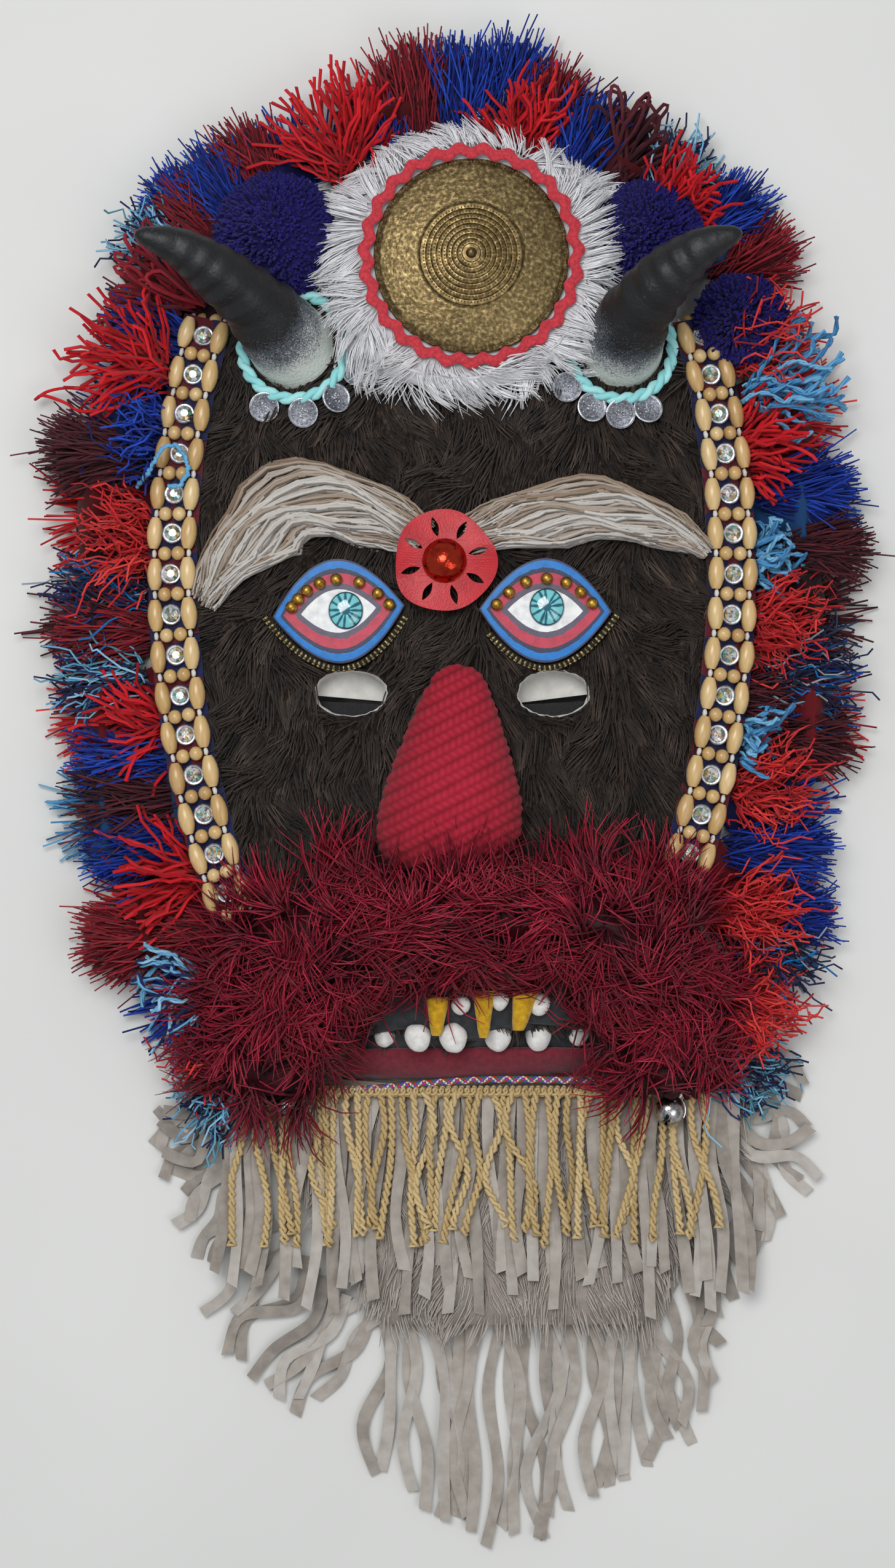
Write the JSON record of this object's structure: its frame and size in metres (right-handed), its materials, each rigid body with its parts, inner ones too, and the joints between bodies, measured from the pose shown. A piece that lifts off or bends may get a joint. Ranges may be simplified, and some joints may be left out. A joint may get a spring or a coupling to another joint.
{
  "type": "kukeri mask",
  "caption": "Horned folk carnival mask of dark fur with a wreath of yarn tassels, brass boss, bead ladders, moustache and fringed beard, lying face up.",
  "frame": {"origin": "middle of the whole mask's outline, on the surface that it lies on", "axes": "+Y towards the horns, +X to the right as the face is looked at, +Z out of the face"},
  "size_m": [0.405, 0.7212, 0.1037],
  "materials": {
    "board": "stiff white foam board with a torn, slightly dirty cut edge",
    "plush": "dark brown curly plush fur",
    "black_cloth": "matt black woven cloth",
    "white_fur": "white long-pile fur over grey under-hair",
    "brass": "aged stamped brass, dark in the recesses",
    "red_braid": "glossy red wavy braid",
    "horn": "real horn, charcoal with a pale base, ridged and scratched",
    "aqua_cord": "pale turquoise twisted cord",
    "coin_silver": "thin stamped silver-coloured coins",
    "yarn_navy": "dense dark blue cut yarn",
    "nose_knit": "crimson knitted wool",
    "eye_leather": "painted soft leather in blue with pink and dark outlines",
    "eye_white": "white painted leather",
    "iris_glass": "teal faceted acrylic cabochon",
    "gold_bead": "small gold beads",
    "zipper_brass": "antique brass zipper teeth on tape",
    "red_leather": "thin red artificial leather",
    "red_metal": "coppery red lacquered metal button",
    "wool": "raw sheep's wool in grey, tan and brown",
    "tooth": "matt white round teeth",
    "fang": "yellow glossy fangs",
    "lip_felt": "burgundy felt",
    "metallic_braid": "plaited metallic cord in several colours",
    "bullion": "pale gold twisted bullion cord",
    "bell_metal": "small silver-coloured jingle bells",
    "suede": "grey suede strips with pale edges",
    "grey_fur": "grey-brown short fur",
    "tape": "dark blue ribbon",
    "bead_wood": "varnished pale wooden beads with white knots",
    "crystal": "iridescent faceted stones",
    "yarn_crimson": "dark crimson eyelash yarn",
    "yarn_red": "bright red and crimson acrylic yarn",
    "yarn_royal": "royal blue acrylic yarn",
    "yarn_maroon": "maroon acrylic yarn",
    "yarn_coral": "coral red crinkled yarn",
    "yarn_sky": "sky blue and light blue twisted yarn"
  },
  "bodies": {
    "root": {"mask_base": "board", "eye_band": "black_cloth", "fur_face": "plush", "forehead_fur": "white_fur", "brass_boss": "brass", "ricrac_braid": "red_braid", "horn_left": "horn", "horn_right": "horn", "coin_rope_left": "aqua_cord", "coin_rope_right": "aqua_cord", "pompom_left": "yarn_navy", "pompom_right": "yarn_navy", "pompom_side": "yarn_navy", "nose": "nose_knit", "eye_plate_left": "eye_leather", "eye_plate_right": "eye_leather", "iris_left": "iris_glass", "iris_right": "iris_glass", "zipper_left": "zipper_brass", "zipper_right": "zipper_brass", "flower": "red_leather", "flower_button": "red_metal", "brow_left": "wool", "brow_right": "wool", "mouth_panel": "black_cloth", "lower_lip": "lip_felt", "beard_fringe_lower": "suede", "beard_fur": "grey_fur", "beard_fringe_upper": "suede", "bullion_fringe": "bullion", "lip_braid": "metallic_braid", "bell_left": "bell_metal", "bell_right": "bell_metal", "moustache": "yarn_crimson", "ladder_tape_left": "tape", "ladder_tape_right": "tape", "bead_ladder_left": "bead_wood", "bead_ladder_right": "bead_wood", "tassel_01": "yarn_royal", "tassel_02": "yarn_coral", "tassel_03": "yarn_royal", "tassel_04": "yarn_coral", "tassel_05": "yarn_maroon", "tassel_06": "yarn_sky", "tassel_07": "yarn_coral", "tassel_09": "yarn_sky", "tassel_10": "yarn_red", "tassel_11": "yarn_royal", "tassel_12": "yarn_red", "tassel_13": "yarn_royal", "tassel_14": "yarn_red", "tassel_15": "yarn_maroon", "tassel_16": "yarn_royal", "tassel_17": "yarn_red", "tassel_18": "yarn_maroon", "tassel_19": "yarn_coral", "tassel_20": "yarn_sky", "tassel_21": "yarn_red", "tassel_22": "yarn_royal"}
  },
  "joints": []
}
